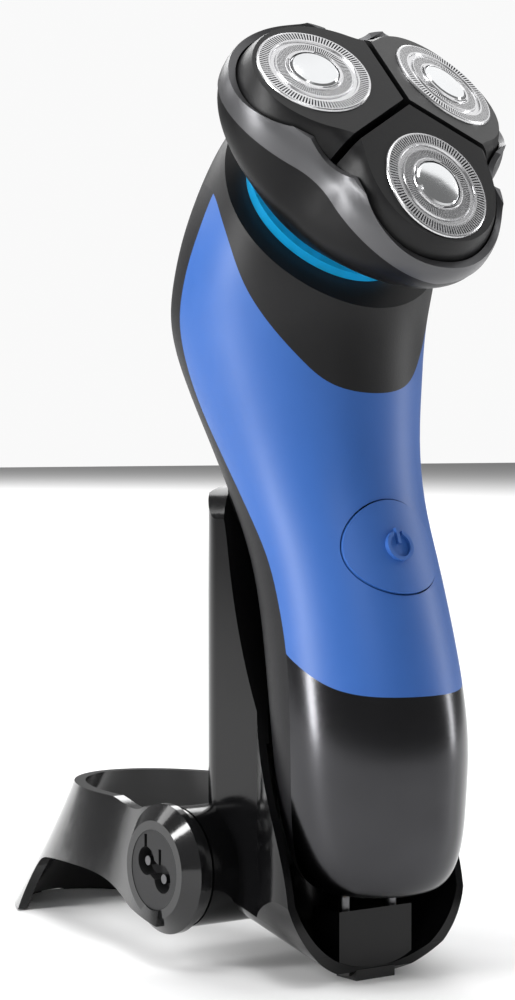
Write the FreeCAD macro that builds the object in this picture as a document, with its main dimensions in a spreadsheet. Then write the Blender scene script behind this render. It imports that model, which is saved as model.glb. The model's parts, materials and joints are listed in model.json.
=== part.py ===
import FreeCAD, Part
import os, math

V = FreeCAD.Vector
Rot = FreeCAD.Rotation
Pl = FreeCAD.Placement
os.makedirs("parts", exist_ok=True)
doc = FreeCAD.newDocument("shaver")

# ---------------------------------------------------------------- dimensions
sheet = doc.addObject("Spreadsheet::Sheet", "Dims")
DIM = {}
_row = [0]


def dim(alias, value):
    _row[0] += 1
    cell = "B%d" % _row[0]
    sheet.set("A%d" % _row[0], alias)
    sheet.set(cell, repr(float(value)))
    sheet.setAlias(cell, alias)
    DIM[alias] = float(value)


for alias, value in [
        # part frame
        ("shift_y", -48.5), ("shift_z", -4.5),
        # handle
        ("wall", 1.9), ("depth_ratio", 0.95), ("button_lift", 0.35),
        ("button_half_w", 10.5), ("button_half_l", 9.0), ("button_gap", 0.3),
        ("cell_radius", 7.0), ("cell_length", 49.0),
        ("motor_radius", 9.4), ("motor_length", 18.0), ("shaft_radius", 1.0),
        ("ring_outer", 17.5), ("ring_inner", 15.6), ("ring_height", 1.8),
        ("socket_bore", 9.4), ("socket_outer", 11.4), ("socket_depth", 7.0),
        # head
        ("head_tilt", 52.0), ("cutter_pitch", 17.6), ("pod_tilt", 11.3),
        ("foil_radius", 10.87), ("spindle_pitch", 16.5), ("gear_module", 0.5),
        ("gear_width", 2.0), ("plug_outer", 9.1), ("plug_inner", 7.2),
        # stand
        ("cradle_half_w", 20.7), ("cradle_wall", 1.6), ("post_half_w", 16.5), ("post_rear", 37.5), ("post_corner", 8.0), ("barrel_radius", 11.4),
        ("barrel_half_l", 22.0), ("ear_radius", 12.3), ("ear_face_x", 28.0),
        ("ear_inner_x", 22.4), ("pin_radius", 2.5), ("pin_clear", 0.06),
        ("leg_wall", 2.4), ("hinge_y", 33.5), ("hinge_z", 23.0),
        ("pad_thick", 0.8)]:
    dim(alias, value)
doc.recompute()

OFF = V(0, DIM["shift_y"], DIM["shift_z"])
WORLD = Pl(OFF, Rot())
nodes = []
_n = [0]


def nm(base):
    _n[0] += 1
    return "%s_%d" % (base, _n[0])


def feat(kind, name, **props):
    o = doc.addObject(kind, nm(name))
    for key, val in props.items():
        if isinstance(val, str) and val.startswith("="):
            o.setExpression(key, val[1:])
        else:
            setattr(o, key, val)
    return o


def axis_pl(pos, direction=V(0, 0, 1)):
    return Pl(pos, Rot(V(0, 0, 1), direction))


def cyl(r, h, pos=V(0, 0, 0), direction=V(0, 0, 1)):
    return feat("Part::Cylinder", "cyl", Radius=r, Height=h, Placement=axis_pl(pos, direction))


def cone(r1, r2, h, pos=V(0, 0, 0), direction=V(0, 0, 1)):
    return feat("Part::Cone", "cone", Radius1=r1, Radius2=r2, Height=h, Placement=axis_pl(pos, direction))


def box(lx, ly, lz, pos):
    """Box centred on pos in x and y, rising from pos.z."""
    return feat("Part::Box", "box", Length=lx, Width=ly, Height=lz,
                Placement=Pl(V(pos.x - lx / 2.0, pos.y - ly / 2.0, pos.z), Rot()))


def boxr(lx, ly, lz, centre, rot):
    """Box centred on a point, turned by rot."""
    c = rot.multVec(V(lx / 2.0, ly / 2.0, lz / 2.0))
    return feat("Part::Box", "box", Length=lx, Width=ly, Height=lz, Placement=Pl(centre - c, rot))


def fuse(*shapes):
    if len(shapes) == 1:
        return shapes[0]
    return feat("Part::MultiFuse", "fuse", Shapes=list(shapes), Refine=True)


def group(*shapes):
    return feat("Part::Compound", "group", Links=list(shapes))


def cut(a, *tools):
    tool = tools[0] if len(tools) == 1 else fuse(*tools)
    return feat("Part::Cut", "cut", Base=a, Tool=tool, Refine=True)


def common(first, *rest):
    out = first
    for other in rest:
        out = feat("Part::Common", "common", Base=out, Tool=other, Refine=True)
    return out


def profile(points, spline=None, plane="YZ", at=0.0):
    """Closed profile. points: polyline; spline: list of (start, end) index ranges fitted with one curve."""
    sk = doc.addObject("Sketcher::SketchObject", nm("profile"))
    if plane == "YZ":
        sk.Placement = Pl(V(at, 0, 0), Rot(V(1, 1, 1), 120))
    elif plane == "XZ":
        sk.Placement = Pl(V(0, at, 0), Rot(V(1, 0, 0), 90))
    else:
        sk.Placement = Pl(V(0, 0, at), Rot())
    spline = spline or []
    n = len(points)
    i = 0
    pts = [V(p[0], p[1], 0) for p in points]
    while i < n:
        run = [r for r in spline if r[0] == i]
        if run:
            a, b = run[0]
            bs = Part.BSplineCurve()
            bs.interpolate(pts[a:b + 1])
            sk.addGeometry(bs, False)
            i = b
            if b == n - 1:
                sk.addGeometry(Part.LineSegment(pts[b], pts[0]), False)
                i = n
        else:
            sk.addGeometry(Part.LineSegment(pts[i], pts[(i + 1) % n]), False)
            i += 1
    return sk


def extrude(sk, length, symmetric=True):
    return feat("Part::Extrusion", "extrusion", Base=sk, DirMode="Normal", LengthFwd=length,
                Solid=True, Symmetric=symmetric)


def revolve(points, pos=V(0, 0, 0), rot=Rot(), spline=None):
    """Turn an (r, z) profile about local z."""
    sk = doc.addObject("Sketcher::SketchObject", nm("turned"))
    sk.Placement = Pl(V(0, 0, 0), Rot(V(1, 0, 0), 90))
    pts = [V(p[0], p[1], 0) for p in points]
    n = len(pts)
    spline = spline or []
    i = 0
    while i < n:
        run = [r for r in spline if r[0] == i]
        if run:
            a, b = run[0]
            bs = Part.BSplineCurve()
            bs.interpolate(pts[a:b + 1])
            sk.addGeometry(bs, False)
            i = b
            if b == n - 1:
                sk.addGeometry(Part.LineSegment(pts[b], pts[0]), False)
                i = n
        else:
            sk.addGeometry(Part.LineSegment(pts[i], pts[(i + 1) % n]), False)
            i += 1
    o = feat("Part::Revolution", "turned", Source=sk, Axis=V(0, 0, 1), Base=V(0, 0, 0), Angle=360.0,
             Solid=True)
    o.Placement = Pl(pos, rot)
    return o


def ellipse(a, b, placement):
    o = doc.addObject("Part::Ellipse", nm("section"))
    o.setExpression("MajorRadius", str(a)) if isinstance(a, str) else setattr(o, "MajorRadius", a)
    o.setExpression("MinorRadius", str(b)) if isinstance(b, str) else setattr(o, "MinorRadius", b)
    o.Placement = placement
    return o


def loft(sections, ruled=False):
    return feat("Part::Loft", "loft", Sections=list(sections), Solid=True, Ruled=ruled)


def node(obj, label, base=None):
    """Final feature of a sub-part: move it into the part frame and name it."""
    base = base or Pl()
    obj.Placement = WORLD.multiply(base.multiply(obj.Placement))
    obj.Label = label
    nodes.append(obj)
    return obj


def copy_of(obj):
    return feat("Part::Compound", "use", Links=[obj])


# ---------------------------------------------------------------- handle outline
# height, centre y, half width of the elliptical cross-sections
SEC = [(21.0, 1.3, 9.0), (22.4, 1.4, 12.6), (25.5, 1.7, 15.0), (30.1, 2.0, 16.5), (37.5, 2.7, 17.7),
       (47.0, 3.2, 18.4), (59.5, 5.0, 18.4), (70.0, 7.4, 18.0), (81.6, 11.1, 17.8), (92.7, 16.0, 18.5),
       (104.0, 20.4, 20.4), (115.4, 23.8, 23.0), (126.9, 25.2, 24.9), (134.5, 23.6, 25.2),
       (141.0, 22.2, 24.6), (148.0, 21.4, 22.8), (155.0, 21.9, 19.6), (161.0, 23.2, 15.6), (165.0, 24.4, 11.6)]


def body_loft(grow, lo=None, hi=None):
    secs = []
    for (z, yc, w) in SEC:
        if lo is not None and (z < lo or z > hi):
            continue
        e = ellipse("%r + %s" % (w, grow), "(%r + %s) * Dims.depth_ratio" % (w, grow),
                    Pl(V(0, yc, z), Rot()))
        secs.append(e)
    return loft(secs)


def hit_y(z, side=-1):
    for (z0, y0, w0), (z1, y1, w1) in zip(SEC, SEC[1:]):
        if z0 <= z <= z1:
            k = (z - z0) / (z1 - z0)
            return (y0 + k * (y1 - y0)) + side * 0.95 * (w0 + k * (w1 - w0))


# ---------------------------------------------------------------- head frame
T = math.radians(DIM["head_tilt"])
HEAD = Pl(V(0, -4.98, 163.5), Rot(V(1, 0, 0), DIM["head_tilt"]))
N = V(0, -math.sin(T), math.cos(T))


def on_axis(k):
    return HEAD.Base + N * k


def slab(z0, z1, size=90.0):
    """Slab between two planes across the head axis, in the handle frame."""
    b = feat("Part::Box", "slab", Length=size, Width=size, Height=z1 - z0)
    b.Placement = HEAD.multiply(Pl(V(-size / 2, -size / 2, z0), Rot()))
    return b


DECK = -26.6
outer = body_loft("0.0")
inner_full = body_loft("-Dims.wall", 22.0, 162.0)
floor_cut = box(60, 60, 40, V(0, 5, -16.4))          # keeps a solid end wall below z 23.6
inner = cut(inner_full, floor_cut)
top_cut = slab(DECK, DECK + 60)
shell = cut(cut(outer, top_cut), inner)

SPINE = [(6.6, 18.0), (6.2, 25.0), (5.0, 32.0), (3.6, 42.0), (3.4, 52.0), (4.3, 62.0), (5.7, 68.0), (8.0, 75.0),
         (11.0, 82.0), (15.6, 89.3), (20.5, 96.6), (25.0, 104.0), (28.4, 111.5), (30.0, 119.0),
         (30.0, 126.5), (28.4, 132.0), (26.2, 137.4), (23.9, 143.0), (22.2, 149.6), (20.0, 158.0), (16.0, 172.0)]
COLLAR = [(-16.0, 109.4), (-8.0, 109.8), (-2.0, 111.0), (1.9, 112.7), (6.1, 118.4), (10.0, 125.9), (12.2, 131.4), (15.0, 139.6),
          (18.4, 145.6), (22.2, 149.6), (27.0, 151.6), (36.0, 152.8), (52.0, 153.0)]
LOW = [(-24.0, 58.2), (-16.0, 57.9), (-10.0, 58.2), (-5.0, 59.6), (0.0, 62.2), (4.9, 65.2), (9.0, 68.0)]

rear_zone = extrude(profile(SPINE + [(70.0, 172.0), (70.0, 18.0)], [(0, len(SPINE) - 1)]), 80.0)
collar_zone = extrude(profile(COLLAR + [(52.0, 185.0), (-40.0, 185.0), (-40.0, 109.4)], [(0, len(COLLAR) - 1)]), 80.0)
low_zone = extrude(profile(LOW + [(60.0, 68.0), (60.0, 10.0), (-24.0, 10.0)], [(0, len(LOW) - 1)]), 80.0)

# button frame: z out of the handle, y up along it
BZ = 84.6
BN = V(0, -0.935, 0.355)
BBASE = V(0, hit_y(BZ) + 0.0, BZ)
BROT = Rot(V(1, 0, 0), V(0, 0.355, 0.935), BN, "XYZ")
BUT = Pl(BBASE, BROT)
btn_hole_e = ellipse("Dims.button_half_w + Dims.button_gap", "Dims.button_half_l + Dims.button_gap", BUT.multiply(Pl(V(0, 0, -1), Rot())))
btn_hole = feat("Part::Extrusion", "hole", Base=btn_hole_e, DirMode="Normal", LengthFwd=17.0, Solid=True, Symmetric=True)
btn_e = ellipse("Dims.button_half_w", "Dims.button_half_l", BUT.multiply(Pl(V(0, 0, -1), Rot())))
btn_prism = feat("Part::Extrusion", "plug", Base=btn_e, DirMode="Normal", LengthFwd=17.0, Solid=True, Symmetric=True)

below_collar = cut(shell, collar_zone)
front_half = cut(below_collar, rear_zone)
node(cut(cut(front_half, low_zone), btn_hole), "front_cover")
node(common(below_collar, rear_zone), "rear_cover")
node(cut(common(front_half, low_zone), cyl(2.0, 6.0, V(-5.5, 2.0, 18.0)), cyl(2.0, 6.0, V(5.5, 2.0, 18.0))), "lower_cover")
node(common(shell, collar_zone), "neck_collar")

# deck closing the neck, with its socket bore
deck_raw = common(inner, slab(DECK - 2.0, DECK))
node(cut(deck_raw, cyl("=Dims.socket_outer", 12.0, on_axis(DECK - 6), N)), "neck_deck")
socket = cut(cyl("=Dims.socket_outer", "=Dims.socket_depth", on_axis(DECK - 6.6), N),
             cyl("=Dims.socket_bore", 5.2, on_axis(DECK - 4.6), N),
             cyl(3.4, 20.0, on_axis(DECK - 12), N))
node(socket, "head_socket")

# translucent accent ring on the deck
ring = cut(cyl("=Dims.ring_outer", "=Dims.ring_height", on_axis(DECK), N),
           cyl("=Dims.ring_inner", 6.0, on_axis(DECK - 2), N))
node(ring, "accent_ring")

# power button with its raised power symbol and the plunger behind it
b_skin = cut(common(btn_prism, body_loft("Dims.button_lift", 58.0, 105.0)), body_loft("-1.5", 58.0, 105.0))
icon_rot = BROT


def bpos(x, y, z):
    return BUT.multVec(V(x, y, z))


sag = 0.9
icon_ring = cut(cyl(2.9, 3.0, bpos(0, 0, -2.0), BN), cyl(2.2, 8.0, bpos(0, 0, -4.0), BN),
                boxr(1.9, 4.0, 8.0, bpos(0, 2.4, 0), BROT))
icon_bar = boxr(0.7, 3.0, 3.0, bpos(0, 1.9, -0.5), BROT)
plunger = cyl(2.0, 2.4, bpos(0, 0, -3.6), BN)
node(fuse(b_skin, icon_ring, icon_bar, plunger), "power_button")

# tactile switch and main board, parallel to the button face
node(fuse(boxr(6.0, 6.0, 2.0, bpos(0, 0, -6.2), BROT), cyl(1.6, 0.9, bpos(0, 0, -5.25), BN)), "tact_switch")
board = boxr(18.0, 46.0, 1.2, bpos(0, -9.0, -7.8), BROT)
node(cut(board, cyl(1.2, 8, bpos(0, 10.5, -11), BN), cyl(1.2, 8, bpos(0, -28.0, -11), BN)), "main_board")
node(group(boxr(7.0, 7.0, 1.2, bpos(-3.5, -14.0, -6.6), BROT), boxr(4.0, 5.0, 1.6, bpos(5.0, -12.0, -6.4), BROT),
           boxr(3.0, 6.0, 1.0, bpos(5.0, -21.0, -6.7), BROT), boxr(2.0, 3.2, 1.0, bpos(-5.0, -21.0, -6.7), BROT)),
     "board_components")

# chassis: a spine plate behind the board with a cell bay below and bosses for the case screws
CD = V(0, 0.145, 0.989432)
cell_base = V(0, 6.4, 36.0)
node(cyl("=Dims.cell_radius", "=Dims.cell_length", cell_base, CD), "battery_cell")
node(cyl(2.6, 0.9, cell_base + CD * (DIM["cell_length"]), CD), "cell_cap")
clip_o = cut(cyl(8.6, 42.0, cell_base + CD * 3.0, CD), cyl(7.25, 60.0, cell_base - CD * 3, CD),
             boxr(40, 9.0, 80, cell_base + CD * 24 + V(0, -8.9, 0), Rot(V(1, 0, 0), -8.3)))
arms = [common(boxr(1.6, 17.0, 26.0, V(sx, 1.0, 58.0), Rot()), inner) for sx in (-8.2, 8.2)]
feet = common(boxr(6.0, 12.0, 6.0, V(0, 19.5, 47.0), Rot()), inner)
feet2 = common(boxr(6.0, 12.0, 6.0, V(0, 21.0, 68.0), Rot()), inner)
node(cut(fuse(clip_o, feet, feet2, *arms), cyl(7.25, 60.0, cell_base - CD * 3, CD),
         boxr(19.0, 60.0, 16.0, bpos(0, -9.0, -0.4), BROT)), "cell_cradle")

# motor on the head axis
node(cut(cyl("=Dims.motor_radius", "=Dims.motor_length", on_axis(DECK - 8.0 - DIM["motor_length"]), N),
         cyl(DIM["shaft_radius"] + 0.06, 6.0, on_axis(DECK - 12.0), N)), "motor_can")
node(fuse(cyl(8.6, 1.6, on_axis(DECK - 8.0 - DIM["motor_length"] - 1.6), N),
          cyl(2.6, 2.6, on_axis(DECK - 8.0 - DIM["motor_length"] - 2.6), N)), "motor_end_bell")
mount_ring = cut(cyl(13.0, 3.0, on_axis(DECK - 12.0), N), cyl("=Dims.motor_radius", 8.0, on_axis(DECK - 15), N))
legs = [cyl(1.1, 7.2, HEAD.multVec(V(12.55 * math.cos(a), 12.55 * math.sin(a), DECK - 9.2)), N)
        for a in (math.radians(0), math.radians(180), math.radians(-90))]
node(fuse(mount_ring, *legs), "motor_mount")

# drive dog turned by the motor
dog = fuse(cyl("=Dims.shaft_radius", 11.0, on_axis(DECK - 11.0), N),
           cyl(2.9, 6.5, on_axis(DECK - 3.6), N),
           cyl(1.5, 4.0, on_axis(DECK + 2.9), N))
hexp = feat("Part::Prism", "hex", Polygon=6, Circumradius=2.1, Height=3.4)
hexp.Placement = HEAD.multiply(Pl(V(0, 0, DECK + 5.2), Rot()))
node(fuse(dog, hexp), "drive_dog")

# charging pads in the bottom end wall
pad_l = cyl(2.0, 2.6, V(-5.5, 2.0, 20.9))
pad_r = cyl(2.0, 2.6, V(5.5, 2.0, 20.9))
node(group(pad_l, pad_r), "charge_pads")

# ---------------------------------------------------------------- shaving head (head frame)


def hull(r, d, z):
    """Three-lobed outline: arcs of radius r about centres at distance d, joined by tangent hollow arcs in the valleys."""
    sk = doc.addObject("Sketcher::SketchObject", nm("lobes"))
    sk.Placement = Pl(V(0, 0, z), Rot())
    flat = r + d / 2.0
    meet = d / 2.0 + math.sqrt(r * r - 0.75 * d * d)
    v = flat - 0.55 * (flat - meet)
    rho = (r * r - v * v - d * d + v * d) / (2.0 * v - d - 2.0 * r)
    far = v + rho
    for k in range(3):
        g = math.radians(120 * k)
        x, y = math.sin(g) * d, -math.cos(g) * d
        c0 = math.atan2(-math.cos(g), math.sin(g))
        h = g + math.radians(60)
        hx, hy = math.sin(h) * far, -math.cos(h) * far
        half = math.atan2(hy - y, hx - x) - c0
        half = (half + math.pi) % (2 * math.pi) - math.pi
        sk.addGeometry(Part.ArcOfCircle(Part.Circle(V(x, y, 0), V(0, 0, 1), r), c0 - abs(half), c0 + abs(half)), False)
        h0 = math.atan2(-math.cos(h), math.sin(h)) + math.pi
        open_ = math.atan2(y - hy, x - hx) - h0
        open_ = abs((open_ + math.pi) % (2 * math.pi) - math.pi)
        sk.addGeometry(Part.ArcOfCircle(Part.Circle(V(hx, hy, 0), V(0, 0, 1), rho), h0 - open_, h0 + open_), False)
    return sk


def lobed(rows, ruled=False):
    """rows: (z, lobe reach, reach of the line bridging two lobes)"""
    secs = []
    for z, lobe, valley in rows:
        d = 2.0 * (lobe - valley)
        secs.append(hull(lobe - d, d, z))
    return loft(secs, ruled)


def pod_pl(k):
    g = math.radians(120.0 * k)
    u = V(math.sin(g), -math.cos(g), 0)
    t = V(0, 0, 1).cross(u)
    return Pl(u * DIM["cutter_pitch"], Rot(t, DIM["pod_tilt"]).multiply(Rot(V(0, 0, 1), 120.0 * k)))


PODS = [("front", 0), ("right", 1), ("left", 2)]

SKIN = [(-22.4, 19.0, 18.7), (-21.0, 21.2, 20.3), (-18.6, 24.9, 22.4), (-16.0, 28.2, 24.2), (-13.6, 30.2, 24.9), (-11.6, 31.1, 25.1),
        (-9.4, 31.5, 25.1), (-7.0, 31.4, 24.9), (-4.6, 30.8, 24.3), (-1.9, 29.8, 23.4)]
skin_o = lobed(SKIN)
skin_i = lobed([(-20.4, 17.2, 16.8), (-18.2, 22.9, 20.8), (-16.0, 26.3, 22.6), (-13.6, 28.6, 23.6), (-11.6, 29.7, 23.85),
                (-9.4, 30.25, 23.9), (-7.0, 30.2, 23.75), (-4.6, 29.75, 23.3), (-1.5, 28.7, 22.4)])
# the seam between bowl and trim arches up in the three valleys
arches = []
for k in range(3):
    g = math.radians(120 * k + 60)
    u = V(math.sin(g), -math.cos(g), 0)
    arches.append(cyl(110.0, 60.0, V(0, 0, -117.7), u))
below = fuse(*arches)
PIV = -21.3
bowl = cut(common(skin_o, below), skin_i, cyl(12.2, 12.0, V(0, 0, -28)))
bowl = fuse(bowl, cyl(0.7, 3.3, V(0, 12.7, PIV), V(0, -1, 0)), cyl(0.7, 3.3, V(0, -12.7, PIV), V(0, 1, 0)))
node(bowl, "head_bowl", HEAD)

band_o = lobed([(z, a + 0.25, b + 0.25) for z, a, b in SKIN[2:]])
dips = []
for k in range(3):
    g = math.radians(120 * k + 60)
    u = V(math.sin(g), -math.cos(g), 0)
    dips.append(cyl(8.0, 22.0, u * 14.0 + V(0, 0, 4.2), u))
    dip = extrude(profile([(-16.9, 3.0), (-16.4, -0.6), (-15.3, -2.9), (-12.5, -4.9), (-8.0, -6.2), (0.0, -6.6), (8.0, -6.2), (12.5, -4.9), (15.3, -2.9),
                           (16.4, -0.6), (16.9, 3.0)], [(0, 10)], plane="XZ", at=-13.0), 26.0, False)
    dip.Placement = Pl(V(0, 0, 0), Rot(V(0, 0, 1), 120.0 * k)).multiply(dip.Placement)
    dips.append(dip)
band = cut(band_o, skin_i, below, *dips)
node(band, "trim_band", HEAD)

# bearing plate carrying the three spindles, and its cover
def lobe_xy(k, r):
    g = math.radians(120.0 * k)
    return V(math.sin(g) * r, -math.cos(g) * r, 0)


SP = DIM["spindle_pitch"]
plate_o = lobed([(-15.0, 26.6, 22.3), (-13.4, 28.0, 23.0)], True)
plate = cut(plate_o, cyl(3.6, 6.0, V(0, 0, -17)))
studs = [cyl(1.1, 3.2, lobe_xy(k, SP) + V(0, 0, -13.6)) for k in range(3)]
node(fuse(plate, *studs), "gear_plate", HEAD)
cover_o = lobed([(-10.35, 29.4, 23.4), (-9.2, 29.4, 23.4)], True)
cover = cut(cover_o, *[cyl(3.0, 6.0, lobe_xy(k, SP) + V(0, 0, -12)) for k in range(3)])
posts = [cyl(1.7, 3.3, lobe_xy(k + 0.5, 19.4) + V(0, 0, -13.4)) for k in range(3)]
screw_holes = [cyl(0.72, 4.8, lobe_xy(k + 0.5, 19.4) + V(0, 0, -13.5)) for k in range(3)]
node(cut(fuse(cover, *posts), *screw_holes), "gear_cover", HEAD)
node(group(*[fuse(cyl(0.7, 3.2, lobe_xy(k + 0.5, 19.4) + V(0, 0, -12.3)), cyl(1.4, 0.6, lobe_xy(k + 0.5, 19.4) + V(0, 0, -9.2)))
             for k in range(3)]), "gear_cover_screws", HEAD)


def gear_outline(z, m, phase, z0):
    """Involute tooth outline as a closed polygon, 20 degree pressure angle."""
    rp = m * z / 2.0
    rb = rp * math.cos(math.radians(20))
    ra = rp + 0.92 * m
    rf = rp - 1.2 * m
    inv = lambda a: math.tan(a) - a
    half = math.pi / (2 * z) - 0.05 * m / rp * 0.8
    pts = []
    for i in range(z):
        c = 2 * math.pi * i / z + phase
        side = []
        for r in (rb if rb > rf else rf, rp - 0.3 * m, rp, rp + 0.5 * m, ra):
            a = math.acos(min(1.0, rb / r))
            th = half + inv(math.radians(20)) - inv(a)
            side.append((r, th))
        if rf < rb:
            side.insert(0, (rf, side[0][1]))
        for r, th in side:
            pts.append((r * math.cos(c - th), r * math.sin(c - th)))
        for r, th in reversed(side):
            pts.append((r * math.cos(c + th), r * math.sin(c + th)))
    return profile(pts, plane="XY", at=z0)


GW = DIM["gear_width"]
Z1, Z2, M = 26, 40, DIM["gear_module"]
# central gear: teeth centred so that a gap faces each spindle direction is set by phase
sun_phase = math.radians(-90.0) + math.pi / Z1
sun = fuse(extrude(gear_outline(Z1, M, sun_phase, -12.6), GW, False), cyl(3.3, 9.4, V(0, 0, -21.4)))
hx = feat("Part::Prism", "hex", Polygon=6, Circumradius=2.55, Height=6.0)
hx.Placement = Pl(V(0, 0, -22.2), Rot())
node(cut(sun, hx), "centre_gear", HEAD)

for name, k in PODS:
    u = lobe_xy(k, SP)
    ang = math.atan2(u.y, u.x)
    # tooth phase of the centre gear seen along u, and the matching phase of this one
    x = (ang - sun_phase) / (2 * math.pi / Z1)
    frac = x - math.floor(x)
    ph = (ang + math.pi) + (0.5 - 0.0 + frac) * 2 * math.pi / Z2
    teeth = extrude(gear_outline(Z2, M, ph, -12.6), GW, False)
    teeth.Placement = Pl(u, Rot()).multiply(teeth.Placement)
    shank = fuse(teeth, cyl(2.5, 3.4, u + V(0, 0, -10.7)), cyl(1.9, 1.9, u + V(0, 0, -7.4)))
    node(cut(shank, cyl(1.2, 3.4, u + V(0, 0, -13.0))), "spindle_gear_" + name, HEAD)

# pods, foils, caps and cutters (pod frame: z out through the foil)
pod_mass = lobed([(-7.4, 29.85, 23.45), (-5.8, 29.7, 23.25), (-4.2, 29.35, 22.85), (-2.9, 28.9, 22.4), (-1.9, 28.4, 21.95), (-0.8, 27.3, 21.2),
                  (0.6, 24.8, 19.5), (2.4, 20.0, 16.4), (4.6, 14.0, 12.2)])
R = DIM["foil_radius"]
for name, k in PODS:
    pp = pod_pl(k)
    g = 120.0 * k
    # sector between the two valley planes, less half of the gap
    wedge_sk = profile([(0.0, -0.85), (45.0 * math.sin(math.radians(60)), -0.85 - 45.0 * 0.5), (0.0, -60.0),
                        (-45.0 * math.sin(math.radians(60)), -0.85 - 45.0 * 0.5)], plane="XY", at=-12.0)
    wedge = extrude(wedge_sk, 24.0, False)
    wedge.Placement = Pl(V(0, 0, 0), Rot(V(0, 0, 1), g)).multiply(wedge.Placement)
    top = feat("Part::Box", "top", Length=80, Width=80, Height=20)
    top.Placement = pp.multiply(Pl(V(-40, -40, -0.45), Rot()))
    bore = cyl(R + 0.02, 6.0)
    bore.Placement = pp.multiply(Pl(V(0, 0, -1.6), Rot()))
    well = cyl(9.7, 12.0)
    well.Placement = pp.multiply(Pl(V(0, 0, -13.0), Rot()))
    podshape = cut(common(pod_mass, wedge), top, bore, well)
    node(podshape, "pod_" + name, HEAD)

    pod_here = HEAD.multiply(pp)
    # foil: turned cup with a radial-slot rim, a groove and an inner slot track
    foil = revolve([(R, -1.6), (R, -0.35), (R - 0.3, 0.0), (8.25, 0.0), (8.0, -0.35), (7.55, -0.35), (7.3, 0.0),
                    (5.25, 0.0), (5.05, 0.3), (4.6, 0.3), (4.6, -0.3), (6.9, -0.3), (7.2, -0.65), (8.3, -0.65), (8.55, -0.3),
                    (R - 0.6, -0.3), (R - 0.6, -1.6)])
    node(foil, "foil_" + name, pod_here)
    cap = revolve([(0.0, -1.0), (4.55, -1.0), (4.55, 0.15), (4.2, 0.42), (2.4, 0.62), (0.0, 0.7)], spline=[(3, 5)])
    node(cap, "cap_" + name, pod_here)
    # retaining ring inside the pod
    keeper = cut(cyl(9.65, 1.0, V(0, 0, -3.9)), cyl(9.0, 3.0, V(0, 0, -5)))
    node(keeper, "keeper_" + name, pod_here)
    # rotary cutter: hub, disc and two rings of blades
    hub = cut(cyl(3.1, 3.0, V(0, 0, -6.4)), cyl(2.25, 2.0, V(0, 0, -6.5)))
    disc = cyl(8.4, 0.5, V(0, 0, -3.6))
    neck = cyl(3.1, 0.8, V(0, 0, -3.6))
    blades = []
    for i in range(9):
        a = 40.0 * i
        for rad, hgt in ((7.9, 1.9), (6.1, 2.35)):
            b = feat("Part::Box", "blade", Length=0.9, Width=0.35, Height=hgt)
            if rad > 7:
                b.Placement = Pl(V(0, 0, 0), Rot(V(0, 0, 1), a)).multiply(Pl(V(6.95 + 0.45, -0.17, -3.15), Rot(V(0, 1, 0), 0)))
                b.Height = 2.25
            else:
                b.Placement = Pl(V(0, 0, 0), Rot(V(0, 0, 1), a + 14)).multiply(Pl(V(5.3, -0.17, -3.15), Rot()))
                b.Height = 2.6
            blades.append(b)
    cutter = fuse(hub, disc, neck, *blades)
    node(cutter, "cutter_" + name, pod_here)

# head mount: plug, gimbal ring and pivot pins at the bottom of the bowl
plug = cut(fuse(cyl("=Dims.plug_outer", 4.3, V(0, 0, DECK - 4.3)), cyl(8.4, 6.3, V(0, 0, DECK))),
           cyl("=Dims.plug_inner", 16.0, V(0, 0, DECK - 5)))
ring_g = cut(cyl(10.6, 2.0, V(0, 0, PIV - 1.0)), cyl(9.0, 4.0, V(0, 0, PIV - 2)))
node(fuse(plug, cyl(0.7, 2.4, V(7.9, 0, PIV), V(1, 0, 0)), cyl(0.7, 2.4, V(-7.9, 0, PIV), V(-1, 0, 0))), "head_plug", HEAD)
node(cut(ring_g, cyl(0.74, 40.0, V(-20, 0, PIV), V(1, 0, 0)), cyl(0.74, 40.0, V(0, -20, PIV), V(0, 1, 0))), "gimbal_ring", HEAD)

# ---------------------------------------------------------------- stand
CW, CT = DIM["cradle_half_w"], DIM["cradle_wall"]
HY, HZ = DIM["hinge_y"], DIM["hinge_z"]


def u_plan(w, y0, rear, z):
    """Plan of the scoop: straight sides to y0, then a rounded back."""
    pts = [(-w, -30.0)]
    for i in range(0, 17):
        a = math.pi * i / 16.0
        pts.append((-w * math.cos(a), y0 + (rear - y0) * math.sin(a)))
    pts += [(w, -30.0)]
    return profile(pts, [(1, 17)], plane="XY", at=z)


def post_plan(w, rear, r):
    pts = [(-w, -30.0), (-w, rear - r)]
    sk = doc.addObject("Sketcher::SketchObject", nm("post"))
    for a, b in (((-w, 6.0), (-w, rear - r)), ((-w + r, rear), (w - r, rear)), ((w, rear - r), (w, 6.0)), ((w, 6.0), (-w, 6.0))):
        sk.addGeometry(Part.LineSegment(V(a[0], a[1], 0), V(b[0], b[1], 0)), False)
    for cx, a0 in ((-w + r, math.pi / 2), (w - r, 0.0)):
        sk.addGeometry(Part.ArcOfCircle(Part.Circle(V(cx, rear - r, 0), V(0, 0, 1), r), a0, a0 + math.pi / 2), False)
    return sk


scoop_o = extrude(u_plan(CW, 3.0, 25.0, 0.0), 64.0, False)
scoop_i = extrude(u_plan(CW - CT, 3.0, 25.0 - CT, 0.0), 48.0, False)
post_o = extrude(post_plan(DIM["post_half_w"], DIM["post_rear"], DIM["post_corner"]), 110.0, False)
side_o = extrude(profile([(1.8, 6.2), (3.4, 5.0), (20.0, 4.9), (30.0, 6.6), (36.0, 9.0), (42.0, 12.0), (42.0, 78.0), (38.6, 86.0), (36.9, 91.8), (34.2, 94.9),
                          (30.6, 94.9), (27.8, 91.5), (25.4, 82.0), (19.2, 60.0), (12.8, 47.0), (6.8, 36.0), (2.2, 25.0), (0.6, 17.0), (0.2, 10.0)],
                         [(6, 18)]), 60.0)


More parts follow.
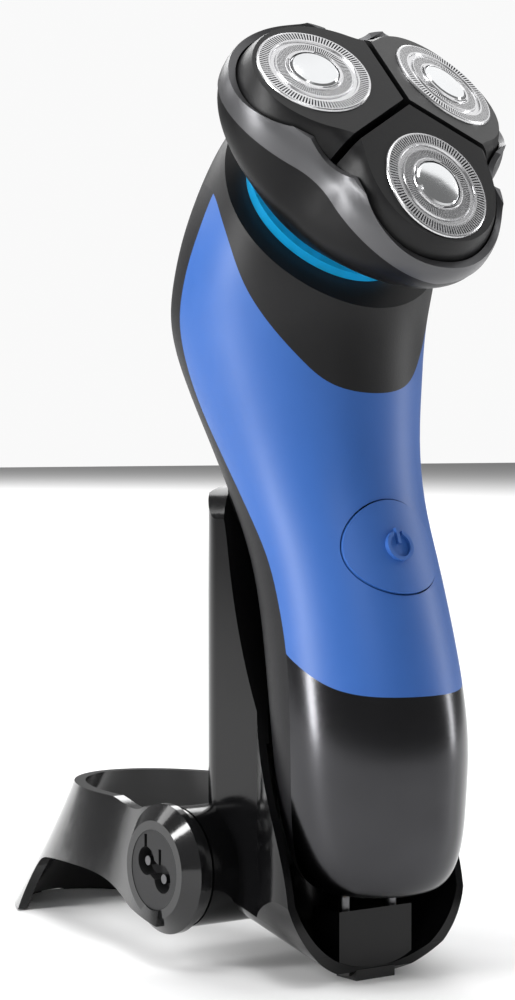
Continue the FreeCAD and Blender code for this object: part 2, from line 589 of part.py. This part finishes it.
def u_front(w, bottom, zc):
    pts = []
    for i in range(0, 13):
        a = math.pi * i / 12.0
        pts.append((-w * math.cos(a), zc - (zc - bottom) * math.sin(a)))
    pts += [(w, 110.0), (-w, 110.0)]
    return profile(pts, [(0, 12)], plane="XZ", at=60.0)


rise = Rot(V(1, 0, 0), 13.5)
front_o = extrude(u_front(CW + 0.7, 4.9, 25.0), 110.0, False)
front_o.Placement = Pl(V(0, 0, 0), rise, V(0, 4.0, 4.9)).multiply(front_o.Placement)
front_i = extrude(u_front(CW - CT + 0.7, 7.2, 25.0), 110.0, False)
front_i.Placement = Pl(V(0, 0, 0), rise, V(0, 4.0, 4.9)).multiply(front_i.Placement)
front_p = extrude(profile([(-30.0, 4.0), (30.0, 4.0), (30.0, 80.0), (DIM["post_half_w"], 84.0), (15.8, 91.0), (12.4, 95.0), (6.0, 96.2), (0.0, 96.4), (-6.0, 96.2), (-12.4, 95.0),
                           (-15.8, 91.0), (-DIM["post_half_w"], 84.0), (-30.0, 80.0)], [(3, 11)], plane="XZ", at=60.0), 110.0, False)
solid_o = common(fuse(common(scoop_o, front_o), common(post_o, front_p)), side_o, front_o)
cavity = common(scoop_i, front_i)
swept = body_loft("0.6", 20.0, 116.0)
barrel = cyl("=Dims.barrel_radius", 2 * DIM["barrel_half_l"], V(-DIM["barrel_half_l"], HY, HZ), V(1, 0, 0))
pocket = box(20.0, 6.4, 40.0, V(0, 31.6, 40.0))
pin_bore = cyl(DIM["pin_radius"] + 0.0, 60.0, V(-30, HY, HZ), V(1, 0, 0))
barrel_core = cyl(8.6, 24.0, V(-12.0, HY, HZ), V(1, 0, 0))
cradle = cut(fuse(solid_o, barrel), cavity, swept, pocket, barrel_core, pin_bore)
node(cradle, "cradle_shell")

node(boxr(18.0, 1.2, 38.0, V(0, 29.2, 60.0), Rot()), "stand_board")
node(group(boxr(6.0, 3.0, 8.0, V(-4.0, 31.3, 70.0), Rot()), boxr(4.0, 2.4, 4.0, V(5.0, 31.0, 58.0), Rot()),
           cyl(2.0, 3.0, V(3.5, 29.8, 48.0), V(0, 1, 0))), "stand_components")

# contact block on the cradle floor with two sprung pins
block = cut(box(17.0, 8.0, 11.6, V(0, 2.0 + 3.6, 6.0)), cyl(1.66, 20.0, V(-5.5, 4.0, 10.2)), cyl(1.66, 20.0, V(5.5, 4.0, 10.2)))
node(common(block, front_i), "contact_block")
for side, sx in (("left", -5.5), ("right", 5.5)):
    pinp = fuse(cyl(1.6, 3.0, V(sx, 4.0, 13.2)), cyl(1.0, 3.6, V(sx, 4.0, 16.2)), )
    tip = feat("Part::Sphere", "tip", Radius=1.0, Placement=Pl(V(sx, 4.0, 19.75), Rot()))
    node(fuse(pinp, tip), "charge_pin_" + side)

# hinge pin with a head at one end
node(fuse(cyl("=Dims.pin_radius", 49.0, V(-24.2, HY, HZ), V(1, 0, 0))), "hinge_pin")
bush = []
for s in (-1, 1):
    bush.append(cut(cyl(8.5, 4.0, V(s * 8.0 if s > 0 else -12.0, HY, HZ), V(1, 0, 0)),
                    cyl(DIM["pin_radius"] + 0.0, 20.0, V(s * 6.0 if s > 0 else -20.0, HY, HZ), V(1, 0, 0))))
node(group(*bush), "barrel_bushes")

# base leg: conical skirt loop behind the cradle, arched at both sides, with two hinge ears
LW = DIM["leg_wall"]


def loop(w, yc, yr, z, front=HY - 2.0):
    """Plan of the skirt: splayed towards the ears, rounded at the rear."""
    flare = [(4.2, front), (3.7, 38.0), (2.3, 45.0), (0.7, 52.0)]
    pts = [(-w - f, y) for f, y in flare]
    for i in range(0, 17):
        a = math.pi * i / 16.0
        pts.append((-w * math.cos(a), yc + (yr - yc) * math.sin(a)))
    pts += [(w + f, y) for f, y in reversed(flare)]
    return profile(pts, [(0, len(pts) - 1)], plane="XY", at=z)


def skirt(grow, z0, z1):
    """Skirt solid between two heights; grow moves the wall in or out."""
    rows = []
    for z in (z0, (z0 + z1) / 2.0, z1):
        k = (z - 4.9) / (34.0 - 4.9)
        w = 26.0 - 5.0 * k
        yr = 117.6 - 25.0 * k + 4.0 * (k * k - k)
        rows.append(loop(w + grow, 58.0, yr + grow, z))
    return loft(rows)


skirt_o = skirt(0.0, 4.9, 33.6)
skirt_i = skirt(-LW, 3.0, 40.0)
# side view of the leg: rim, rear foot and arch
leg_side = extrude(profile([(HY - 6, 33.6), (43.0, 33.6), (49.0, 32.4), (56.0, 33.2), (64.0, 34.2), (130.0, 34.2), (130.0, 4.9), (98.5, 4.9), (97.4, 11.0), (94.0, 15.2), (86.0, 17.6), (72.0, 18.6), (60.0, 18.2),
                            (50.0, 16.2), (43.0, 14.4), (HY - 6, 12.0)], [(1, 4), (7, 14)]), 90.0)
leg_wall = common(cut(skirt_o, skirt_i), leg_side)
EX, EI, ER = DIM["ear_face_x"], DIM["ear_inner_x"], DIM["ear_radius"]
ears = []
for s in (-1, 1):
    d = V(s, 0, 0)
    ears.append(fuse(cyl(11.3, 2.6, V(s * EI, HY, HZ), d),
                     cyl("=Dims.ear_radius", 1.4, V(s * 24.2, HY, HZ), d),
                     cone(ER, 9.3, EX - 25.6, V(s * 25.6, HY, HZ), d)))
bar_clear = cyl(12.1, 2 * EI, V(-EI, HY, HZ), V(1, 0, 0))
leg = fuse(cut(leg_wall, bar_clear), *ears)
pin_holes = cyl(DIM["pin_radius"] + DIM["pin_clear"], 50.0, V(-25.0, HY, HZ), V(1, 0, 0))
inlet_bore = cyl(7.6, 8.0, V(-24.4, HY, HZ), V(-1, 0, 0))
leg = cut(leg, pin_holes, inlet_bore)
node(leg, "base_leg")

# mains inlet: insert with a figure-eight socket, and its two pins
XI = -24.45
ins = cyl(7.55, 3.45, V(XI, HY, HZ), V(-1, 0, 0))
la, lb = V(0, -2.7, -1.4), V(0, 2.7, 1.4)
f8 = fuse(cyl(2.7, 5.0, V(XI - 0.7, HY, HZ) + la, V(-1, 0, 0)), cyl(2.7, 5.0, V(XI - 0.7, HY, HZ) + lb, V(-1, 0, 0)),
          boxr(5.0, 5.0, 3.2, V(XI - 3.2, HY, HZ), Rot(V(1, 0, 0), 27.4)))
keys = fuse(boxr(5.0, 0.9, 3.6, V(XI - 3.2, HY - 1.9, HZ + 2.3), Rot()), boxr(5.0, 0.9, 3.6, V(XI - 3.2, HY + 2.9, HZ + 4.7), Rot()))
node(cut(ins, f8, keys), "inlet_insert")
node(group(cyl(0.9, 2.4, V(XI - 0.7, HY, HZ) + la, V(-1, 0, 0)), cyl(0.9, 2.4, V(XI - 0.7, HY, HZ) + lb, V(-1, 0, 0))), "inlet_pins")

# rubber pads: two under the rear foot, one under the toe
pad_ring = cut(skirt(-0.4, 4.5, 4.9), skirt(-2.0, 4.0, 6.0))
node(group(common(pad_ring, box(13.0, 40.0, 3.0, V(-9.5, 105.0, 3.0))), common(pad_ring, box(13.0, 40.0, 3.0, V(9.5, 105.0, 3.0)))), "leg_pads")
node(cut(box(9.0, 6.0, 2.0, V(0, 4.6, 4.5)), solid_o), "toe_pad")

doc.recompute()

bad = []
for o in doc.Objects:
    if "Invalid" in o.State or "Error" in o.State:
        bad.append((o.Name, o.Label, o.State))
for o in nodes:
    sh = o.Shape
    if sh.isNull() or not sh.isValid() or sh.Volume < 0.01:
        bad.append((o.Label, "shape", sh.isNull(), 0 if sh.isNull() else sh.Volume))
if bad:
    for b in bad:
        print("BAD", b)
    raise SystemExit(1)
names = [o.Label for o in nodes]
assert len(names) == len(set(names)), "duplicate labels"
total = FreeCAD.BoundBox()
for o in nodes:
    o.Shape.exportStep("parts/%s.step" % o.Label)
    b = o.Shape.BoundBox
    total.add(b)
    print("%-22s solids %2d vol %9.1f  x %6.1f %6.1f  y %6.1f %6.1f  z %6.1f %6.1f" % (
        o.Label, len(o.Shape.Solids), o.Shape.Volume, b.XMin, b.XMax, b.YMin, b.YMax, b.ZMin, b.ZMax))
print("TOTAL", len(nodes), total)
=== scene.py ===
import bpy
import bmesh
import json
import math
import os
from mathutils import Matrix, Vector


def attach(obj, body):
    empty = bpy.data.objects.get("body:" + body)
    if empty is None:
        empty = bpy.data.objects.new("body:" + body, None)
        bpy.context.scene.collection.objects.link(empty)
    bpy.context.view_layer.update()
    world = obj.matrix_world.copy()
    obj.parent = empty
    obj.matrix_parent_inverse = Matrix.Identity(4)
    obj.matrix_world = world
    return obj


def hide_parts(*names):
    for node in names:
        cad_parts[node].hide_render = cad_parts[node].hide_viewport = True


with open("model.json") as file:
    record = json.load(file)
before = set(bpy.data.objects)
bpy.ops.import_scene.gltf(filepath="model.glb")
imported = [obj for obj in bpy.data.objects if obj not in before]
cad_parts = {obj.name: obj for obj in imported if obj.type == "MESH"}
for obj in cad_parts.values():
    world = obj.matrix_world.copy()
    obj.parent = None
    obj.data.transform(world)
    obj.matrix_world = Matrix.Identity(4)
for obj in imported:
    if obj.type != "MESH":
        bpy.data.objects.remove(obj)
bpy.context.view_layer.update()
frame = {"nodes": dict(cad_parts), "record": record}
rec = frame["record"]
nodes = frame["nodes"]

# part frame of the shaver head, in metres
SHIFT = Vector((0.0, -0.0485, -0.0045))
TILT = math.radians(52.0)
HEAD = Matrix.Translation(Vector((0, -0.00498, 0.1635)) + SHIFT) @ Matrix.Rotation(TILT, 4, "X")


# ------------------------------------------------------------------ materials
def new_mat(name):
    m = bpy.data.materials.get(name) or bpy.data.materials.new(name)
    m.use_nodes = True
    nt = m.node_tree
    nt.nodes.clear()
    out = nt.nodes.new("ShaderNodeOutputMaterial")
    bsdf = nt.nodes.new("ShaderNodeBsdfPrincipled")
    nt.links.new(bsdf.outputs[0], out.inputs[0])
    return m, nt, bsdf


def set_in(node, name, value):
    if name in node.inputs:
        node.inputs[name].default_value = value


def surface(name, base, rough, metallic=0.0, coat=0.0, coat_rough=0.1, grain=2600.0, grain_depth=0.02,
            vary=0.06, rough_vary=0.06, spec=0.5, brushed=None, transmission=0.0, ior=1.45, emission=None,
            patch_scale=60.0, sheen=0.0, dust=0.0, scratch=0.0):
    """Procedural finish: colour drift, roughness drift, fine grain relief, optional brushing and fine scratches."""
    m, nt, bsdf = new_mat(name)
    N, Lk = nt.nodes, nt.links
    tex = N.new("ShaderNodeTexCoord")
    big = N.new("ShaderNodeTexNoise")
    big.inputs["Scale"].default_value = patch_scale
    big.inputs["Detail"].default_value = 5.0
    Lk.new(tex.outputs["Object"], big.inputs["Vector"])
    ramp = N.new("ShaderNodeValToRGB")
    lo = [max(0.0, c * (1 - vary)) for c in base]
    hi = [min(1.0, c * (1 + vary) + 0.002) for c in base]
    ramp.color_ramp.elements[0].color = (*lo, 1)
    ramp.color_ramp.elements[1].color = (*hi, 1)
    ramp.color_ramp.elements[0].position = 0.3
    ramp.color_ramp.elements[1].position = 0.7
    Lk.new(big.outputs["Fac"], ramp.inputs["Fac"])
    col = ramp.outputs["Color"]
    fine = N.new("ShaderNodeTexNoise")
    fine.inputs["Scale"].default_value = grain
    fine.inputs["Detail"].default_value = 3.0
    if brushed:
        mp = N.new("ShaderNodeMapping")
        mp.inputs["Scale"].default_value = brushed
        Lk.new(tex.outputs["Object"], mp.inputs["Vector"])
        Lk.new(mp.outputs["Vector"], fine.inputs["Vector"])
    else:
        Lk.new(tex.outputs["Object"], fine.inputs["Vector"])
    if dust > 0:
        mix = N.new("ShaderNodeMixRGB")
        mix.blend_type = "MIX"
        mix.inputs["Color2"].default_value = (0.35, 0.34, 0.33, 1)
        dr = N.new("ShaderNodeValToRGB")
        dr.color_ramp.elements[0].position = 0.62
        dr.color_ramp.elements[1].position = 0.85
        dr.color_ramp.elements[1].color = (dust, dust, dust, 1)
        Lk.new(big.outputs["Fac"], dr.inputs["Fac"])
        Lk.new(dr.outputs["Color"], mix.inputs["Fac"])
        Lk.new(col, mix.inputs["Color1"])
        col = mix.outputs["Color"]
    Lk.new(col, bsdf.inputs["Base Color"])
    rr = N.new("ShaderNodeMapRange")
    rr.inputs["To Min"].default_value = max(0.02, rough - rough_vary)
    rr.inputs["To Max"].default_value = min(1.0, rough + rough_vary)
    Lk.new(fine.outputs["Fac"], rr.inputs["Value"])
    Lk.new(rr.outputs["Result"], bsdf.inputs["Roughness"])
    height = fine.outputs["Fac"]
    if scratch > 0:
        vor = N.new("ShaderNodeTexNoise")
        vor.inputs["Scale"].default_value = 900.0
        mp2 = N.new("ShaderNodeMapping")
        mp2.inputs["Scale"].default_value = (1.0, 1.0, 0.03)
        Lk.new(tex.outputs["Object"], mp2.inputs["Vector"])
        Lk.new(mp2.outputs["Vector"], vor.inputs["Vector"])
        add = N.new("ShaderNodeMath")
        add.operation = "MULTIPLY_ADD"
        add.inputs[1].default_value = scratch
        Lk.new(vor.outputs["Fac"], add.inputs[0])
        Lk.new(fine.outputs["Fac"], add.inputs[2])
        height = add.outputs[0]
    bump = N.new("ShaderNodeBump")
    bump.inputs["Strength"].default_value = grain_depth
    bump.inputs["Distance"].default_value = 0.0002
    Lk.new(height, bump.inputs["Height"])
    Lk.new(bump.outputs["Normal"], bsdf.inputs["Normal"])
    set_in(bsdf, "Metallic", metallic)
    set_in(bsdf, "Specular IOR Level", spec)
    set_in(bsdf, "Coat Weight", coat)
    set_in(bsdf, "Coat Roughness", coat_rough)
    set_in(bsdf, "IOR", ior)
    set_in(bsdf, "Transmission Weight", transmission)
    set_in(bsdf, "Sheen Weight", sheen)
    if emission:
        set_in(bsdf, "Emission Color", (*emission[0], 1))
        set_in(bsdf, "Emission Strength", emission[1])
    return m


def lin(c):
    c = c / 255.0
    return c / 12.92 if c <= 0.04045 else ((c + 0.055) / 1.055) ** 2.4


def rgb(r, g, b):
    return (lin(r), lin(g), lin(b))


MAT = {
    "blue_cover": surface("look_blue_cover", rgb(44, 92, 166), 0.46, coat=0.12, coat_rough=0.35, grain_depth=0.03, vary=0.03),
    "blue_button": surface("look_blue_button", rgb(44, 92, 166), 0.48, coat=0.1, coat_rough=0.4, grain_depth=0.05, vary=0.03),
    "black_soft": surface("look_black_soft", rgb(24, 24, 26), 0.5, spec=0.3, grain_depth=0.10),
    "metallic_black": surface("look_metallic_black", rgb(66, 66, 68), 0.2, metallic=1.0, grain_depth=0.03, grain=5200.0, vary=0.08),
    "collar_black": surface("look_collar", rgb(24, 24, 25), 0.46, spec=0.32, grain_depth=0.09),
    "inner_black": surface("look_inner", rgb(30, 30, 31), 0.6, grain_depth=0.12),
    # the cyan ring's emission is a painted glow that brightens the ring; the ring itself is not a lamp
    "cyan_ring": surface("look_cyan_painted_glow", rgb(20, 150, 200), 0.14, coat=0.6, coat_rough=0.05, transmission=0.35, emission=(rgb(30, 160, 215), 0.3), grain_depth=0.01),
    "switch_metal": surface("look_switch", (0.6, 0.6, 0.6), 0.35, metallic=1.0),
    "pcb_green": surface("look_pcb", (0.01, 0.10, 0.035), 0.35, coat=0.4, patch_scale=900.0, vary=0.35),
    "chip_black": surface("look_chip", (0.02, 0.02, 0.02), 0.6, grain_depth=0.2),
    "cell_wrap": surface("look_cell", (0.03, 0.16, 0.34), 0.3, coat=0.5, vary=0.04),
    "contact_metal": surface("look_contact", (0.78, 0.60, 0.30), 0.28, metallic=1.0, vary=0.08),
    "motor_steel": surface("look_motor", (0.52, 0.52, 0.54), 0.32, metallic=1.0, brushed=(1, 1, 0.05)),
    "gear_white": surface("look_gear", (0.72, 0.72, 0.68), 0.45, vary=0.04),
    # the bowl's very dark base colour and low specular level are partly its black plastic and partly painted shade
    # for the underside of the head
    "bowl_black": surface("look_bowl_with_painted_shade", rgb(11, 11, 12), 0.42, spec=0.2, grain_depth=0.04),
    "grey_trim": surface("look_trim", rgb(84, 84, 86), 0.36, metallic=0.6, coat=0.1, coat_rough=0.25, grain_depth=0.03, grain=5200.0),
    "screw_steel": surface("look_screw", (0.6, 0.6, 0.62), 0.3, metallic=1.0),
    "pod_black": surface("look_pod", rgb(20, 20, 21), 0.40, spec=0.3, grain_depth=0.07),
    "foil_steel": surface("look_foil", (0.62, 0.62, 0.63), 0.26, metallic=1.0, grain=4000.0, grain_depth=0.05, vary=0.05),
    "polished_cap": surface("look_cap", (0.72, 0.73, 0.74), 0.14, metallic=1.0, grain_depth=0.01, rough_vary=0.03),
    "cutter_steel": surface("look_cutter", (0.5, 0.5, 0.52), 0.3, metallic=1.0),
    "stand_black": surface("look_stand", rgb(7, 7, 8), 0.14, spec=0.25, coat=0.05, coat_rough=0.06, grain_depth=0.012, vary=0.1),
    "pin_steel": surface("look_pin", (0.14, 0.14, 0.145), 0.34, metallic=1.0),
    "leg_black": surface("look_leg", rgb(18, 18, 19), 0.13, spec=0.5, coat=0.25, coat_rough=0.06, grain_depth=0.012, vary=0.1),
    "inlet_black": surface("look_inlet", rgb(30, 30, 31), 0.42, spec=0.35, grain_depth=0.05),
    "pad_rubber": surface("look_rubber", (0.018, 0.018, 0.018), 0.8, grain_depth=0.3),
}

slot_of = {s["node"]: s["material_slot"] for s in rec["subparts"]}
for name, obj in nodes.items():
    m = MAT[slot_of[name]]
    if name in ("inlet_pins", "charge_pin_left", "charge_pin_right"):
        m = MAT["pin_steel"]
    if name == "contact_block":
        m = MAT["stand_black"]
    for i in range(len(obj.data.materials)):
        obj.data.materials[i] = m
    if len(obj.data.materials) == 0:
        obj.data.materials.append(m)


# ------------------------------------------------------------------ pieces
def mesh_obj(name, bm, mat, body, smooth=True):
    me = bpy.data.meshes.new(name)
    bm.to_mesh(me)
    bm.free()
    ob = bpy.data.objects.new(name, me)
    bpy.context.scene.collection.objects.link(ob)
    me.materials.append(mat)
    for p in me.polygons:
        p.use_smooth = smooth
    if body:
        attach(ob, body)
    return ob


PODS = [("front", 0), ("right", 1), ("left", 2)]
mm = 0.001


def pod_matrix(k):
    g = math.radians(120.0 * k)
    u = Vector((math.sin(g), -math.cos(g), 0))
    t = Vector((0, 0, 1)).cross(u)
    return HEAD @ Matrix.Translation(u * 17.6 * mm) @ Matrix.Rotation(math.radians(11.3), 4, t) @ Matrix.Rotation(g, 4, "Z")


def foil_mesh(M):
    """Slotted steel foil: two rings of radial slots, a groove between them and a raised inner collar."""
    bm = bmesh.new()
    prof = [(10.84, -1.55), (10.84, -0.38), (10.72, -0.12), (10.5, 0.0), (10.3, 0.0), (8.62, 0.0), (8.3, 0.0), (8.12, -0.3),
            (7.5, -0.3), (7.32, 0.0), (7.1, 0.0), (5.5, 0.0), (5.32, 0.02), (5.22, 0.28), (4.72, 0.28), (4.66, -0.1)]
    n = 216
    rings = []
    for r, z in prof:
        rings.append([bm.verts.new(M @ Vector((r * math.cos(2 * math.pi * i / n) * mm, r * math.sin(2 * math.pi * i / n) * mm, z * mm)))
                      for i in range(n)])
    for j in range(len(prof) - 1):
        for i in range(n):
            k = i % 2
            slot_outer = prof[j][0] == 10.3 and k == 1
            slot_inner = prof[j][0] == 7.1 and k == 1
            if slot_outer or slot_inner:
                continue
            # three windows in the raised collar
            if prof[j][0] in (5.22,) and (i % 72) > 12 and (i % 72) < 40:
                continue
            a, b = rings[j][i], rings[j][(i + 1) % n]
            c, d = rings[j + 1][(i + 1) % n], rings[j + 1][i]
            bm.faces.new((a, b, c, d))
    bmesh.ops.remove_doubles(bm, verts=[v for v in bm.verts if not v.link_faces], dist=0)
    for v in [v for v in bm.verts if not v.link_faces]:
        bm.verts.remove(v)
    bmesh.ops.recalc_face_normals(bm, faces=bm.faces)
    return bm


under = surface("look_under_foil", (0.12, 0.12, 0.125), 0.4, metallic=0.9)
for name, k in PODS:
    M = pod_matrix(k)
    bm = foil_mesh(M)
    ob = mesh_obj("slotted_foil_" + name, bm, MAT["foil_steel"], "pod_%s_b" % name, smooth=False)
    sol = ob.modifiers.new("thick", "SOLIDIFY")
    sol.thickness = 0.16 * mm
    sol.offset = -1.0
    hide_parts("foil_" + name)


# ------------------------------------------------------------------ stage
bm = bmesh.new()
bmesh.ops.create_grid(bm, x_segments=1, y_segments=1, size=6.0)
floor = mesh_obj("floor", bm, surface("stage_floor", (0.9, 0.9, 0.9), 0.6, vary=0.01, grain_depth=0.0), None)

world = bpy.data.worlds.new("studio")
bpy.context.scene.world = world
world.use_nodes = True
wn = world.node_tree
bg = wn.nodes["Background"]
bg.inputs[0].default_value = (1.0, 1.0, 1.0, 1)
bg.inputs[1].default_value = 0.2
# the backdrop reads as white paper while the object sits in softer light
bright = wn.nodes.new("ShaderNodeBackground")
bright.inputs[0].default_value = (1.0, 1.0, 1.0, 1)
bright.inputs[1].default_value = 0.95
path = wn.nodes.new("ShaderNodeLightPath")
blend_bg = wn.nodes.new("ShaderNodeMixShader")
world.node_tree.links.new(path.outputs["Is Camera Ray"], blend_bg.inputs[0])
world.node_tree.links.new(bg.outputs[0], blend_bg.inputs[1])
world.node_tree.links.new(bright.outputs[0], blend_bg.inputs[2])
world.node_tree.links.new(blend_bg.outputs[0], wn.nodes["World Output"].inputs[0])


def area(name, loc, target, size, power, size_y=None):
    l = bpy.data.lights.new(name, "AREA")
    l.energy = power
    l.shape = "RECTANGLE"
    l.size = size
    l.size_y = size_y or size
    o = bpy.data.objects.new(name, l)
    o.location = loc
    d = Vector(target) - Vector(loc)
    o.rotation_euler = d.to_track_quat("-Z", "Y").to_euler()
    bpy.context.scene.collection.objects.link(o)
    return o


mid = (0, 0, 0.09)
area("key", (-0.95, 0.12, 0.34), mid, 0.16, 12.0, 1.0)
area("front_fill", (-0.45, -1.2, 0.95), mid, 0.5, 2.4, 0.3)
area("rim_right", (1.0, -0.30, 0.30), mid, 0.12, 4.0, 0.9)
area("top", (-0.15, -0.1, 1.1), mid, 0.5, 5.0)
area("back_left", (-0.6, 0.85, 0.75), mid, 0.3, 2.0, 0.5)
area("head_glint", (0.50, 0.08, 0.85), (0, 0, 0.165), 1.0, 3.2)
area("backdrop_light", (0.9, 2.6, 1.6), (0.9, 2.6, 0.0), 2.4, 90.0)

# ------------------------------------------------------------------ camera
a, e = math.radians(-36.0), math.radians(1.5)
Rv = Vector((math.cos(a), math.sin(a), 0))
Uv = Vector((-math.sin(a) * math.sin(e), math.cos(a) * math.sin(e), math.cos(e)))
Bv = Vector((math.sin(a) * math.cos(e), -math.cos(a) * math.cos(e), math.sin(e)))
target = Vector((0, 0.0388, 0.0922)) + SHIFT
cam = bpy.data.cameras.new("camera")
cam.lens = 93.6
cam.sensor_width = 36.0
cam.sensor_height = 36.0
cam.sensor_fit = "AUTO"
cam.clip_start = 0.01
co = bpy.data.objects.new("camera", cam)
rot = Matrix((Rv, Uv, Bv)).transposed()
co.matrix_world = Matrix.Translation(target + Bv * 0.5088) @ rot.to_4x4()
bpy.context.scene.collection.objects.link(co)
bpy.context.scene.camera = co
bpy.context.scene.view_settings.view_transform = "Standard"
